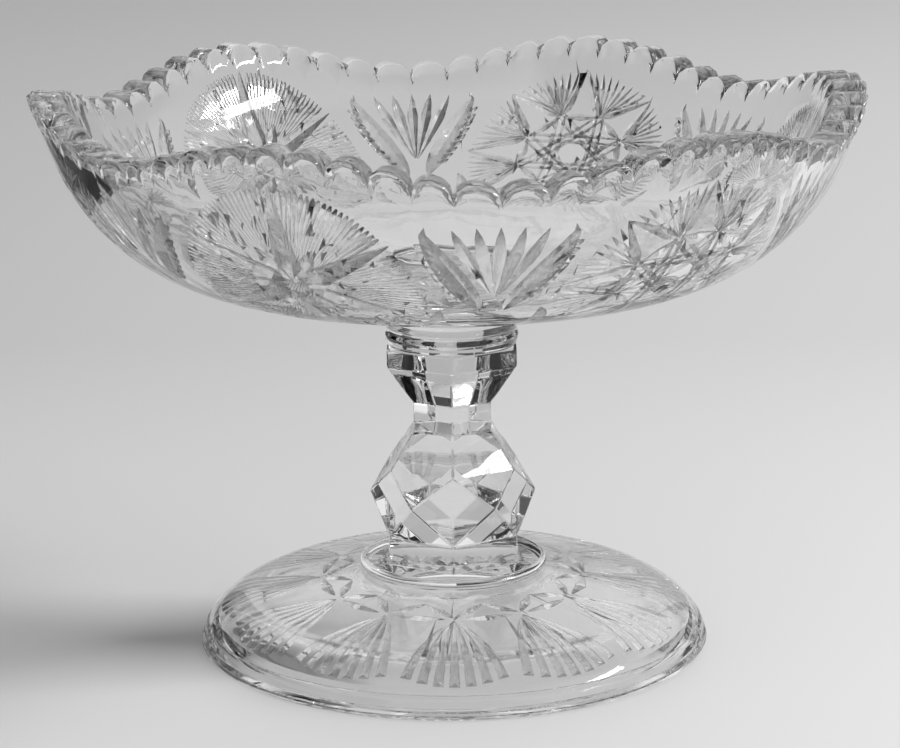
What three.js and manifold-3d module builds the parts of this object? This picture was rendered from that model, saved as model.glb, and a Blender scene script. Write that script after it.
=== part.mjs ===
// Footed glass compote: a pressed bowl with a scalloped, toothed rim and cut-pattern relief,
// joined by a glass wafer to a six-sided stem with a faceted knop, which stands by a second
// wafer on a domed hollow foot. Millimetres, +Z up, origin at the centre of the resting ring.
import * as THREE from "three";
import Module from "manifold-3d";

const wasm = await Module();
wasm.setup();

// Foot: a hollow, shallow cone with a rounded edge; its underside carries a ring of fluted fans
const footDiameter = 137;
const footSeatHeight = 19.9;
const footSeatRadius = 26;
const footShoulderRadius = 52;
const footShoulderHeight = 14.4;
const footGlass = 5.2;
const footRingWidth = 3.7;
const footRestInset = 1.2;
const hollowLip = 0.7;
const ceilingEdgeRadius = 61.6;
const footHubRadius = 23;
const edgeFullness = 1.38;

// Wafers of glass that join the pieces
const footWaferDiameter = 50.4;
const footWaferThickness = 3.1;
const bowlWaferDiameter = 36.6;
const bowlWaferThickness = 8.6;
const waferRounding = 1.6;
const roundingSteps = 4;

// Stem: radii are to the corners of the six-sided section, heights are above the stem's base
const stemSides = 6;
const baseCorner = 20.4;
const knopLowCorner = 19.6;
const knopLowHeight = 7.4;
const knopWidestCorner = 22.4;
const knopWidestHeight = 17.9;
const knopHighCorner = 19.1;
const knopHighHeight = 25.8;
const shaftCorner = 11.9;
const knopTopHeight = 35.9;
const shaftHeight = 7.6;
const neckCorner = 14.5;
const neckHeight = 3.3;
const capitalCorner = 19.8;
const capitalTaper = 7.5;
const capitalBand = 4.6;

// Bowl
const bowlDiameter = 220;
const bowlHeight = 60.5;
const bowlPadRadius = 20;
const bowlPadStep = 1;
const floorSlope = 0.2;
const wallAngle = THREE.MathUtils.degToRad(69);
const cornerRadius = 55;
const wallThickness = 9;
const insideFlatRadius = 14;

// Rim
const scallops = 6;
const teethPerScallop = 11;
const scallopDrop = 8.3;
const toothHeight = 4.2;
const toothCrestShare = 0.4;
const endToothShare = 1.16;
const rimRounding = 1.6;
const valleyAzimuth = THREE.MathUtils.degToRad(-6.5);

// Cut pattern on the outside of the bowl; distances along the wall are from the pad's edge
const patternCentre = 76;
const hobstarRadius = 28.8;
const hobstarPoints = 8;
const hobstarWaist = 14.4;
const hobstarStretch = 1.12;
const hobstarFanRays = 1;
const rosetteRadius = 30.5;
const rosetteRays = 6;
const rosetteCombTeeth = 4;
const palmetteFoot = 73;
const palmetteTop = 96.5;
const palmetteRays = 5;
const palmetteSpread = 11.5;
const leafTipAcross = 17.5;
const leafTipUp = 20.5;

// Fans under the foot; radii are from the axis
const footFans = 12;
const fanApexRadius = 35.4;
const fanEndRadius = 61;
const fanFlutes = 5;
const fanShare = 0.9;

// Mitre cuts: half width of the cut, and its depth as a share of that half width
const mitreDepth = 0.75;
const broadCut = 2;
const starCut = 1.1;
const fineCut = 0.7;
const cutLift = 0.5;

const aroundSteps = 48;

// Glass materials
const clearGlass = () => new THREE.MeshStandardMaterial({ color: 0xdfe4e4, roughness: 0.05, metalness: 0 });

const fullTurn = 2 * Math.PI;

// A closed mesh from rings of points, each ring one point on the axis or the same number of points.
function ringsToGeometry(rings) {
  const points = [];
  const faces = [];
  const starts = rings.map((ring) => {
    const start = points.length;
    points.push(...ring);
    return start;
  });
  for (let i = 0; i + 1 < rings.length; i++) {
    const count = Math.max(rings[i].length, rings[i + 1].length);
    const low = (j) => starts[i] + (rings[i].length === 1 ? 0 : j % count);
    const high = (j) => starts[i + 1] + (rings[i + 1].length === 1 ? 0 : j % count);
    for (let j = 0; j < count; j++) {
      if (rings[i].length > 1) faces.push(low(j), low(j + 1), high(j));
      if (rings[i + 1].length > 1) faces.push(low(j + 1), high(j + 1), high(j));
    }
  }
  return toGeometry(points, faces);
}

function toGeometry(points, faces) {
  const geometry = new THREE.BufferGeometry();
  const flat = points.flatMap((p) => [p.x, p.y, p.z]);
  geometry.setAttribute("position", new THREE.Float32BufferAttribute(flat, 3));
  geometry.setIndex(faces);
  geometry.computeVertexNormals();
  return geometry;
}

function toSolid(geometry) {
  return new wasm.Manifold(
    new wasm.Mesh({
      numProp: 3,
      vertProperties: new Float32Array(geometry.attributes.position.array),
      triVerts: new Uint32Array(geometry.index.array),
    }),
  );
}

function fromSolid(solid) {
  const mesh = solid.getMesh();
  const points = [];
  for (let i = 0; i < mesh.numVert; i++) {
    const [x, y, z] = mesh.vertProperties.subarray(i * mesh.numProp, i * mesh.numProp + 3);
    points.push(new THREE.Vector3(x, y, z));
  }
  return toGeometry(points, Array.from(mesh.triVerts));
}

// Azimuths run from +Y towards +X.
function polar(radius, azimuth, z) {
  return new THREE.Vector3(radius * Math.sin(azimuth), radius * Math.cos(azimuth), z);
}

function ring(radius, z) {
  if (radius === 0) return [new THREE.Vector3(0, 0, z)];
  return Array.from({ length: aroundSteps }, (_, j) => polar(radius, (-fullTurn * j) / aroundSteps, z));
}

// A body of revolution from profile points [radius, height], listed up the outside from the axis.
function revolve(profile) {
  return ringsToGeometry(profile.map(([radius, z]) => ring(radius, z)));
}

// An arc of profile points about a centre, from one angle to another.
function arc(centreRadius, centreZ, radius, from, to, steps) {
  return Array.from({ length: steps + 1 }, (_, i) => {
    const angle = from + ((to - from) * i) / steps;
    return [centreRadius + radius * Math.cos(angle), centreZ + radius * Math.sin(angle)];
  });
}

// Outer wall of the bowl: a shallow straight floor, a corner arc and a straight flared wall.
// wall(s, inset) gives the profile point at distance s along the outer line, moved in by inset.
function bowlWall() {
  const floorAngle = Math.atan(floorSlope);
  const padEdge = new THREE.Vector2(bowlPadRadius, bowlPadStep);
  const rim = new THREE.Vector2(bowlDiameter / 2, bowlHeight);
  const alongFloor = new THREE.Vector2(Math.cos(floorAngle), Math.sin(floorAngle));
  const alongWall = new THREE.Vector2(Math.cos(wallAngle), Math.sin(wallAngle));
  const across = rim.clone().sub(padEdge);
  const floorToCorner = across.cross(alongWall) / alongFloor.cross(alongWall);
  const turn = wallAngle - floorAngle;
  const tangent = cornerRadius * Math.tan(turn / 2);
  const floorLength = floorToCorner - tangent;
  const arcLength = cornerRadius * turn;
  const corner = padEdge.clone().addScaledVector(alongFloor, floorToCorner);
  const wallLength = rim.distanceTo(corner) - tangent;
  const arcStart = padEdge.clone().addScaledVector(alongFloor, floorLength);
  const arcEnd = corner.clone().addScaledVector(alongWall, tangent);
  const arcCentre = arcStart.clone().add(new THREE.Vector2(-alongFloor.y, alongFloor.x).multiplyScalar(cornerRadius));
  const angleAt = (s) => floorAngle + THREE.MathUtils.clamp((s - floorLength) / cornerRadius, 0, turn);
  const lineAt = (s) => {
    if (s <= floorLength) return padEdge.clone().addScaledVector(alongFloor, s);
    if (s >= floorLength + arcLength) return arcEnd.clone().addScaledVector(alongWall, s - floorLength - arcLength);
    const angle = angleAt(s);
    return arcCentre.clone().add(new THREE.Vector2(Math.sin(angle), -Math.cos(angle)).multiplyScalar(cornerRadius));
  };
  const wall = (s, inset = 0) => {
    const angle = angleAt(s);
    const point = lineAt(s);
    return [point.x - inset * Math.sin(angle), point.y + inset * Math.cos(angle)];
  };
  return { wall, angleAt, floorLength, arcLength, length: floorLength + arcLength + wallLength };
}

// Height of the rim at an azimuth: six scallops, and along each the rounded teeth.
function rimHeight(azimuth) {
  const span = fullTurn / scallops;
  const along = THREE.MathUtils.euclideanModulo(azimuth - valleyAzimuth, span) / span;
  const scallop = -scallopDrop * Math.cos(Math.PI * along) ** 2;
  const fromEnd = Math.min(along, 1 - along);
  const toothWidth = 1 / (teethPerScallop - 2 + 2 * endToothShare);
  const endTooth = toothWidth * endToothShare;
  const within = fromEnd < endTooth ? fromEnd / endTooth : ((fromEnd - endTooth) / toothWidth) % 1;
  const fromCrest = Math.max(0, Math.abs(2 * within - 1) - toothCrestShare) / (1 - toothCrestShare);
  const tooth = -toothHeight * (1 - Math.sqrt(1 - fromCrest * fromCrest));
  return bowlHeight + scallop + tooth;
}

// Azimuths that meet every tooth's valley and both ends of its crest.
function rimAzimuths() {
  const span = fullTurn / scallops;
  const toothWidth = span / (teethPerScallop - 2 + 2 * endToothShare);
  const azimuths = [];
  for (let k = 0; k < scallops; k++) {
    let start = valleyAzimuth + k * span;
    for (let i = 0; i < teethPerScallop; i++) {
      const width = i === 0 || i === teethPerScallop - 1 ? toothWidth * endToothShare : toothWidth;
      for (const share of [0, (1 - toothCrestShare) / 2, (1 + toothCrestShare) / 2]) azimuths.push(start + width * share);
      start += width;
    }
  }
  return azimuths.reverse();
}

// Everything above the toothed rim, as one ring-shaped cutter with a rounded underside.
function crownCutter() {
  const clear = 6;
  const leanOut = 1 / Math.tan(wallAngle);
  const halfAcross = wallThickness / Math.sin(wallAngle) / 2;
  const middle = (z) => bowlDiameter / 2 - halfAcross - (bowlHeight - z) * leanOut;
  const azimuths = rimAzimuths();
  const row = (share, drop) =>
    azimuths.map((azimuth) => {
      const z = rimHeight(azimuth) - drop;
      return polar(middle(z) + share * halfAcross, azimuth, z);
    });
  const lid = (share) =>
    azimuths.map((azimuth) => polar(middle(bowlHeight) + share * halfAcross, azimuth, bowlHeight + clear));
  const rows = [
    row(2, 3 * rimRounding),
    row(1.02, rimRounding),
    row(0.62, 0),
    row(-0.62, 0),
    row(-1.02, rimRounding),
    row(-2, 3 * rimRounding),
    lid(-2),
    lid(2),
  ];
  rows.push(rows[0]);
  return toSolid(weldedRings(rows));
}

// Rings whose last row is the first one again, such as a band that closes on itself.
function weldedRings(rows) {
  const count = rows[0].length;
  const points = rows.slice(0, -1).flat();
  const faces = [];
  for (let i = 0; i + 1 < rows.length; i++) {
    const low = i * count;
    const high = ((i + 1) % (rows.length - 1)) * count;
    for (let j = 0; j < count; j++) {
      const next = (j + 1) % count;
      faces.push(low + j, high + j, low + next, low + next, high + j, high + next);
    }
  }
  return toGeometry(points, faces);
}

function bowlBody(bowl) {
  const { wall, floorLength, arcLength, length } = bowl;
  const stations = [0, floorLength];
  const arcSteps = 5;
  for (let i = 1; i <= arcSteps; i++) stations.push(floorLength + (arcLength * i) / arcSteps);
  stations.push(length);
  const outside = stations.map((s) => wall(s));
  const inside = stations.map((s) => wall(s, wallThickness)).reverse();
  inside[0] = [bowlDiameter / 2 - wallThickness / Math.sin(wallAngle), bowlHeight];
  inside.pop();
  const flatHeight = inside[inside.length - 1][1] - (inside[inside.length - 1][0] - insideFlatRadius) * floorSlope;
  const floor = [[insideFlatRadius, flatHeight], [0, flatHeight]];
  return revolve([[0, 0], [bowlPadRadius, 0], ...outside, ...inside, ...floor]);
}

// A place on the bowl's outer wall for a motif centred at an azimuth: u runs round, v up the wall.
function wallPlace(bowl, azimuth) {
  return (u, v) => {
    const s = THREE.MathUtils.clamp(patternCentre + v, 0, bowl.length);
    const [radius, z] = bowl.wall(s);
    const angle = bowl.angleAt(s);
    const at = azimuth + u / radius;
    return { point: polar(radius, at, z), normal: polar(Math.sin(angle), at, -Math.cos(angle)) };
  };
}

// One mitre cut along a path of [u, v, half width] stations on a placed surface.
function mitre(place, path) {
  const spots = path.map(([u, v]) => place(u, v));
  const points = [];
  spots.forEach((spot, i) => {
    const before = spots[Math.max(i - 1, 0)].point;
    const after = spots[Math.min(i + 1, spots.length - 1)].point;
    const side = new THREE.Vector3().crossVectors(after.clone().sub(before), spot.normal).normalize();
    const half = path[i][2];
    const reach = half + cutLift / mitreDepth;
    const above = spot.point.clone().addScaledVector(spot.normal, cutLift);
    points.push(
      above.clone().addScaledVector(side, -reach),
      spot.point.clone().addScaledVector(spot.normal, -half * mitreDepth),
      above.clone().addScaledVector(side, reach),
    );
  });
  const faces = [0, 2, 1];
  for (let i = 0; i + 1 < spots.length; i++) {
    for (let k = 0; k < 3; k++) {
      const a = 3 * i + k;
      const b = 3 * i + ((k + 1) % 3);
      faces.push(a, b, b + 3, a, b + 3, a + 3);
    }
  }
  const last = 3 * (spots.length - 1);
  faces.push(last, last + 1, last + 2);
  const solid = toSolid(toGeometry(points, faces));
  return solid.volume() < 0 ? toSolid(toGeometry(points, faces.reverse())) : solid;
}

// A pattern point on a circle, which may be stretched sideways.
function onCircle(radius, angle, stretch = 1) {
  return [stretch * radius * Math.sin(angle), radius * Math.cos(angle)];
}

// A straight cut between two pattern points, widest at a share of its length, in short steps.
function cutBetween(place, from, to, half, widestAt = 0.5, steps = 3) {
  const shares = Array.from({ length: steps + 1 }, (_, i) => i / steps);
  if (!shares.includes(widestAt)) shares.push(widestAt);
  shares.sort((a, b) => a - b);
  const path = shares.map((t) => {
    const width = t <= widestAt ? t / widestAt : (1 - t) / (1 - widestAt);
    return [from[0] + (to[0] - from[0]) * t, from[1] + (to[1] - from[1]) * t, half * Math.sqrt(width)];
  });
  return mitre(place, path);
}

// Hobstar: eight points, the star of chords between its waist corners, and fans between the points.
function hobstar(place) {
  const cuts = [];
  const step = fullTurn / hobstarPoints;
  for (let k = 0; k < hobstarPoints; k++) {
    const tip = onCircle(hobstarRadius, k * step, hobstarStretch);
    const waist = onCircle(hobstarWaist, (k + 0.5) * step, hobstarStretch);
    const nextTip = onCircle(hobstarRadius, (k + 1) * step, hobstarStretch);
    cuts.push(cutBetween(place, tip, waist, starCut, 0.6, 2));
    cuts.push(cutBetween(place, waist, nextTip, starCut, 0.4, 2));
    if (k < hobstarPoints / 2) cuts.push(cutBetween(place, waist, waist.map((c) => -c), starCut, 0.5, 4));
    for (let i = 1; i <= hobstarFanRays; i++) {
      const angle = (k + i / (hobstarFanRays + 1)) * step;
      const end = onCircle(hobstarRadius - 1, angle, hobstarStretch);
      cuts.push(cutBetween(place, waist, end, fineCut, 0.75, 1));
    }
  }
  return cuts;
}

// Comb rosette: six broad tapering rays, and short comb teeth along the round edge between them.
function combRosette(place) {
  const cuts = [];
  const step = fullTurn / rosetteRays;
  for (let k = 0; k < rosetteRays; k++) {
    cuts.push(cutBetween(place, onCircle(3, k * step), onCircle(rosetteRadius, k * step), broadCut, 0.5, 4));
    for (let i = 1; i <= rosetteCombTeeth; i++) {
      const angle = (k + 0.1 + (0.8 * (i - 0.5)) / rosetteCombTeeth) * step;
      cuts.push(cutBetween(place, onCircle(0.6 * rosetteRadius, angle), onCircle(rosetteRadius, angle), fineCut, 0.75, 1));
    }
  }
  return cuts;
}

// Palmette: straight rays from one foot, between two curved leaves.
function palmette(place) {
  const foot = palmetteFoot - patternCentre;
  const top = palmetteTop - patternCentre;
  const cuts = [];
  for (let i = 0; i < palmetteRays; i++) {
    const share = (2 * i) / (palmetteRays - 1) - 1;
    cuts.push(cutBetween(place, [share * 1.5, foot + 2], [share * palmetteSpread, top], 1.5, 0.75, 3));
  }
  for (const side of [-1, 1]) {
    cuts.push(
      mitre(place, [
        [side * leafTipAcross, leafTipUp, 0],
        [side * 0.72 * leafTipAcross, 0.5 * leafTipUp, broadCut],
        [side * 0.46 * leafTipAcross, foot, broadCut],
        [side * 0.3 * leafTipAcross, foot - 8, 0],
      ]),
    );
  }
  return cuts;
}

function bowlCuts(bowl) {
  const span = fullTurn / scallops;
  const cuts = [];
  for (let k = 0; k < scallops; k++) {
    const valley = valleyAzimuth + k * span;
    cuts.push(...palmette(wallPlace(bowl, valley)));
    const peak = wallPlace(bowl, valley + span / 2);
    cuts.push(...(k % 2 === 0 ? hobstar(peak) : combRosette(peak)));
  }
  return cuts;
}

const joined = (solids) => solids.reduce((sum, solid) => sum.add(solid));

function makeBowl() {
  const bowl = bowlWall();
  const blank = toSolid(bowlBody(bowl)).subtract(crownCutter());
  return fromSolid(blank.subtract(joined(bowlCuts(bowl))));
}

// A joining wafer: a disc with rounded edges.
function makeWafer(diameter, thickness) {
  const rounding = Math.min(waferRounding, thickness / 2);
  const across = diameter / 2 - rounding;
  const lower = arc(across, rounding, rounding, -Math.PI / 2, 0, roundingSteps);
  const upper = arc(across, thickness - rounding, rounding, 0, Math.PI / 2, roundingSteps);
  if (thickness <= 2 * waferRounding) upper.shift();
  return revolve([[0, 0], ...lower, ...upper, [0, thickness]]);
}

// Stem: six-sided throughout; the knop has a diamond on each corner and its widest points between.
function makeStem() {
  const points = [];
  const faces = [];
  const sector = fullTurn / stemSides;
  const addRing = (corner, z, turn = 0) => {
    const start = points.length;
    for (let k = 0; k < stemSides; k++) points.push(polar(corner, (k + turn) * sector, z));
    return (k) => start + (k % stemSides);
  };
  const addFace = (...corners) => {
    for (let i = 1; i + 1 < corners.length; i++) faces.push(corners[0], corners[i], corners[i + 1]);
  };
  const base = addRing(baseCorner, 0);
  const low = addRing(knopLowCorner, knopLowHeight);
  const widest = addRing(knopWidestCorner, knopWidestHeight, 0.5);
  const high = addRing(knopHighCorner, knopHighHeight);
  const shaftTop = knopTopHeight + shaftHeight;
  const neckTop = shaftTop + neckHeight;
  const bandBottom = neckTop + capitalTaper;
  const upper = [
    addRing(shaftCorner, knopTopHeight),
    addRing(shaftCorner, shaftTop),
    addRing(neckCorner, neckTop),
    addRing(capitalCorner, bandBottom),
    addRing(capitalCorner, bandBottom + capitalBand),
  ];
  for (let k = 0; k < stemSides; k++) {
    const last = k + stemSides - 1;
    addFace(base(k), low(k), low(k + 1), base(k + 1));
    addFace(low(k), widest(k), low(k + 1));
    addFace(low(k), widest(last), high(k), widest(k));
    addFace(widest(k), high(k), upper[0](k), upper[0](k + 1), high(k + 1));
    for (let i = 0; i + 1 < upper.length; i++) {
      addFace(upper[i](k), upper[i + 1](k), upper[i + 1](k + 1), upper[i](k + 1));
    }
  }
  const sides = Array.from({ length: stemSides }, (_, k) => k);
  addFace(...sides.map((k) => base(k)));
  addFace(...sides.map((k) => upper[upper.length - 1](stemSides - 1 - k)));
  return toGeometry(points, faces);
}

const stemHeight = knopTopHeight + shaftHeight + neckHeight + capitalTaper + capitalBand;

// Foot: a cone from the seat to the shoulder, a full rounded edge, a flat resting ring and a hollow.
function footProfile() {
  const radius = footDiameter / 2;
  const edgeWidth = radius - footShoulderRadius;
  const edgeSteps = 7;
  const edge = Array.from({ length: edgeSteps }, (_, i) => {
    const angle = (Math.PI / 2) * (1 - i / edgeSteps);
    const across = edgeWidth * Math.cos(angle) ** edgeFullness;
    return [footShoulderRadius + across, footShoulderHeight * Math.sin(angle)];
  });
  const restOuter = radius - footRestInset;
  const restInner = restOuter - footRingWidth;
  const fallPerStep = (footSeatHeight - footShoulderHeight) / (footShoulderRadius - footSeatRadius);
  const ceiling = (r) => footShoulderHeight + fallPerStep * (footShoulderRadius - r) - footGlass;
  const edgeHeight = (r) => {
    const share = ((r - footShoulderRadius) / edgeWidth) ** (1 / edgeFullness);
    return footShoulderHeight * Math.sqrt(1 - share * share);
  };
  const middleRadius = (ceilingEdgeRadius + footShoulderRadius) / 2;
  const hollow = [
    [restInner, 0],
    [restInner - hollowLip, hollowLip],
    [ceilingEdgeRadius, edgeHeight(ceilingEdgeRadius) - footGlass],
    [middleRadius, edgeHeight(middleRadius) - footGlass],
    [footShoulderRadius, ceiling(footShoulderRadius)],
    [footHubRadius, ceiling(footHubRadius)],
    [0, ceiling(footHubRadius)],
  ];
  return { top: [[0, footSeatHeight], [footSeatRadius, footSeatHeight], ...edge], restOuter, hollow };
}

// Height of the hollow's ceiling at a radius, by straight lines between its profile points.
function ceilingAt(hollow, radius) {
  for (let i = 0; i + 1 < hollow.length; i++) {
    const [r1, z1] = hollow[i];
    const [r0, z0] = hollow[i + 1];
    if (radius <= r1 && radius >= r0) return z0 + ((z1 - z0) * (radius - r0)) / (r1 - r0 || 1);
  }
  return hollow[0][1];
}

// A place on the hollow's ceiling for a fan at an azimuth: u runs round, v outward from the apex.
function ceilingPlace(hollow, azimuth) {
  return (u, v) => {
    const radius = fanApexRadius + v;
    const at = azimuth + u / radius;
    const probe = 0.5;
    const inner = Math.min(radius, ceilingEdgeRadius - probe);
    const slope = (ceilingAt(hollow, inner + probe) - ceilingAt(hollow, inner - probe)) / (2 * probe);
    const normal = polar(slope, at, -1).normalize();
    return { point: polar(radius, at, ceilingAt(hollow, radius)), normal };
  };
}

function footCuts(hollow) {
  const cuts = [];
  const span = fullTurn / footFans;
  const length = fanEndRadius - fanApexRadius;
  for (let k = 0; k < footFans; k++) {
    const place = ceilingPlace(hollow, k * span);
    for (let i = 0; i < fanFlutes; i++) {
      const share = (2 * (i + 0.5)) / fanFlutes - 1;
      const swing = (share * fanShare * span * fanEndRadius) / 2;
      cuts.push(mitre(place, [[share * 0.5, 0.5, 0.1], [0.6 * swing, 0.5 * length, 1.2], [swing, length, broadCut]]));
    }
    const apart = span * fanApexRadius;
    cuts.push(cutBetween(place, [0.12 * apart, -1], [0.88 * apart, -1], 1.5, 0.5, 2));
  }
  return cuts;
}

function makeFoot() {
  const { top, restOuter, hollow } = footProfile();
  const outline = [...hollow.slice().reverse(), [restOuter, 0], ...top.slice().reverse()];
  const body = toSolid(revolve(outline));
  return fromSolid(body.subtract(joined(footCuts(hollow))));
}

function piece(name, geometry, z) {
  const mesh = new THREE.Mesh(geometry, clearGlass());
  mesh.name = name;
  mesh.position.z = z;
  return mesh;
}

const compote = new THREE.Group();
const footWaferBase = footSeatHeight;
const stemBase = footWaferBase + footWaferThickness;
const bowlWaferBase = stemBase + stemHeight;
const bowlBase = bowlWaferBase + bowlWaferThickness;

compote.add(piece("foot", makeFoot(), 0));
compote.add(piece("foot_wafer", makeWafer(footWaferDiameter, footWaferThickness), footWaferBase));
compote.add(piece("stem", makeStem(), stemBase));
compote.add(piece("bowl_wafer", makeWafer(bowlWaferDiameter, bowlWaferThickness), bowlWaferBase));
compote.add(piece("bowl", makeBowl(), bowlBase));

export default compote;
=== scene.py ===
"""A clear pressed-glass compote on a pale studio floor.

Sizes are in millimetres and angles in degrees where they are named; mesh_from turns the points to metres.
Azimuths run round the stem's axis from +Y towards +X, as seen from above.
"""

import bpy
import numpy as np
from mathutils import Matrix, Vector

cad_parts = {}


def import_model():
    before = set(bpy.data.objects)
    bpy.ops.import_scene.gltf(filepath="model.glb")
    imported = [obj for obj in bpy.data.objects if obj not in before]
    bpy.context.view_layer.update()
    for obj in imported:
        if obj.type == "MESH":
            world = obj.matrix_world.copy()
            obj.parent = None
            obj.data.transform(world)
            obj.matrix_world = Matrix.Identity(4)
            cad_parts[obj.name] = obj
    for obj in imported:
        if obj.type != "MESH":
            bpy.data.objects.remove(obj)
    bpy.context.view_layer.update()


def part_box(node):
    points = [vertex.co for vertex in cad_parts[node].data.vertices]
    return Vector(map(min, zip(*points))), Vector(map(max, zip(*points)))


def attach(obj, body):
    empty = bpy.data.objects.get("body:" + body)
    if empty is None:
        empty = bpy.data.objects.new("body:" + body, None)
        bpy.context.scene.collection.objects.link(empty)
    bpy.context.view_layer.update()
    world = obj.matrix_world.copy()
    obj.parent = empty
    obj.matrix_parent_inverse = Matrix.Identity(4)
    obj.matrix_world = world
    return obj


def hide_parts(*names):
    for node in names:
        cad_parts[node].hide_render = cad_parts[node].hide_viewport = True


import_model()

MM = 0.001
IMAGE_WIDTH = 900

# Camera, as found from the rim's teeth, the stem's corners and the foot's outline in the photograph
CAMERA_PLACE = (-0.5, -763, 261.4)
CAMERA_PITCH = 13.88
CAMERA_ROLL = 0.5
FOCAL_PIXELS = 2946
SENSOR_WIDTH = 36

# Bowl: outer line of the wall from the edge of its pad to the rim
BOWL_RADIUS = 109.4
PAD_RADIUS = 20
PAD_STEP = 1
FLOOR_SLOPE = 0.2
WALL_ANGLE = 69
CORNER_RADIUS = 55
WALL_THICKNESS = 9

# Rim
SCALLOPS = 6
TEETH_PER_SCALLOP = 11
SCALLOP_DROP = 8.3
TOOTH_HEIGHT = 4.2
END_TOOTH_SHARE = 1.16
RIM_ROUNDING = 1.5
RIM_TURNS = (22.5, 45, 67.5, 90)
FIRST_VALLEY = -6.5
COLUMNS_PER_TOOTH = 6

# Rows of the bowl's grid. Above TEETH_FROM, a distance along the wall, they follow the teeth
TEETH_FROM = 98
FLOOR_ROWS = 4
WALL_ROWS = 13
TEETH_ROWS = 4
RIM_TOP_ROWS = 5
INSIDE_FLOOR_ROWS = 6

# Cut pattern: distances along the wall are from the pad's edge. A depth is a share of the cut's half width,
# and a list of pairs gives distances along a cut, or shares of its length, with its half width there
PATTERN_CENTRE = 76
PATTERN_DEPTH = 1.05
HOBSTAR_POINTS = 8
HOBSTAR_RADIUS = 28.8
HOBSTAR_WAIST = 14.4
HOBSTAR_STRETCH = 1.12
HOBSTAR_POINT_HALF = 1.7
HOBSTAR_POINT_WIDEST = (0.78, 0.22)
HOBSTAR_OCTAGON_HALF = 1.3
HOBSTAR_FAN_RAYS = 8
HOBSTAR_FAN_SPREAD = 0.395
HOBSTAR_FAN_IN = 0.9
HOBSTAR_FAN_OUT = 0.5
HOBSTAR_RAY_HALF = 0.78
HOBSTAR_RAY_WIDEST = 0.68
CHORD_GAP = 1.1
CHORD_HALF = 0.75
CHORD_END_HALF = 0.5
ROSETTE_RAYS = 6
ROSETTE_RADIUS = 30.5
ROSETTE_WEDGE = [(3, 0.2), (6.5, 3.3), (13, 2.9), (21, 1.9), (ROSETTE_RADIUS, 0.3)]
ROSETTE_LEAF = (2.2, 15)
ROSETTE_LEAF_HALF = 2.4
COMB_RADIUS = 30
COMB_START = 11
COMB_LINES = 19
COMB_MARGIN = 0.085
COMB_LINE = [
    (COMB_START, 0.05),
    (0.72 * COMB_RADIUS, 0.32),
    (0.93 * COMB_RADIUS, 0.74),
    (COMB_RADIUS, 0.3),
]
PALMETTE_FOOT = 73
PALMETTE_TOP = 96.5
PALMETTE_RAYS = 5
PALMETTE_SPREAD = 11.5
PALMETTE_ROOT_SPREAD = 0.5
PALMETTE_ARCH = 0.6
PALMETTE_RAY = [(0, 0.15), (0.4, 1.1), (0.68, 1.7), (0.88, 1.0), (1, 0.1)]
LEAF_TIP = (17.8, 21)
LEAF_ROOT = 8
LEAF_BELLY = 6.2
LEAF_HALF = 3.3
LEAF_DEPTH = 0.75
LEAF_STOPS = 15
NOTCHES = 9
NOTCH_STOPS = (3, 11.4)
NOTCH_IN, NOTCH_OUT = 2, 1.8
NOTCH_DOWN, NOTCH_UP = 1, 0.9
NOTCH_HALF = 1.15
NOTCH_WIDEST = 0.55
NOTCH_ROOT_HALF = 0.5
LOW_LEAF_CENTRE = (2, 11)
LOW_LEAF_RADII = (10.5, 13)
LOW_LEAF_ARC = (70, 150)
LOW_LEAF_HALF = 1.9
LOW_LEAF_STOPS = 13

# Mitre cuts: how far the cutting bars stand above the surface, and their longest straight piece
CUT_LIFT = 0.4
CUT_STEP = 5

# Spindle cuts: stops near their ends, as shares of the way, and the power that rounds them
SPINDLE_STOPS = (0.12, 0.9)
SPINDLE_POWER = 0.6

# Foot
FOOT_RADIUS = 68.5
SHOULDER_RADIUS = 52
SHOULDER_HEIGHT = 14.4
EDGE_FULLNESS = 1.38
EDGE_ROWS = 24
EDGE_START = 5
CONE_ROWS = 12
FOOT_GLASS = 5.2
REST_INSET = 1.2
REST_WIDTH = 3.7
HOLLOW_LIP = 0.7
CEILING_EDGE = 61.6
CEILING_ROWS = 7
EDGE_RINGS = (2.7, 5.6)
RING_DEPTH = 0.55
RING_HALF = 0.6
HUB_RADIUS = 23
SEAT_RADIUS = 26
REST_EDGE = [(0, 1.2), (0.35, 0.6)]
FOOT_FANS = 12
FAN_FLUTES = 7
FAN_APEX = 35.4
FAN_END = 61
FLUTE_DEPTH = 1.45
FLUTE_HALF = 1.3
FLUTE_APEX_HALF = 0.1
FLUTE_STOPS = 7
FAN_SHARE = 0.9
FAN_BELL = 0.72
FAN_ROUNDING = 0.07
APEX_BAR = (0.12, 0.88)
APEX_BAR_IN = 0.9
APEX_BAR_HALF = 1.5
BAND_RADIUS = 27.5
BAND_IN = 1.4
BAND_HALF = 1.4

# Stem: corner radius and height above its base for each ring of six corners
STEM_SIDES = 6
STEM_BASE_CORNER = 20.4
KNOP_LOW = (19.6, 7.4)
KNOP_WIDEST = (22.4, 17.9)
KNOP_HIGH = (19.1, 25.8)
SHAFT_FOOT = (11.9, 35.9)
SHAFT_TOP = (11.9, 43.5)
NECK = (14.5, 46.8)
CAPITAL = (19.8, 54.3)
FACET_SOFTNESS = 0.45
FACET_ANGLE = 8

# Floor: half its side, and how far it lies under the foot so that the two faces don't coincide
FLOOR_HALF = 2600
FLOOR_GAP = 0.2

# Wafers: each radius, and the soft rings and flare of the upper one
BOWL_WAFER_RADIUS = 17.3
BOWL_WAFER_RING = 0.55
BOWL_WAFER_FLARE = 1.5
BOWL_WAFER_ROWS = 26
FOOT_WAFER_RADIUS = 25.2
FOOT_WAFER_ROWS = 13

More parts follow.
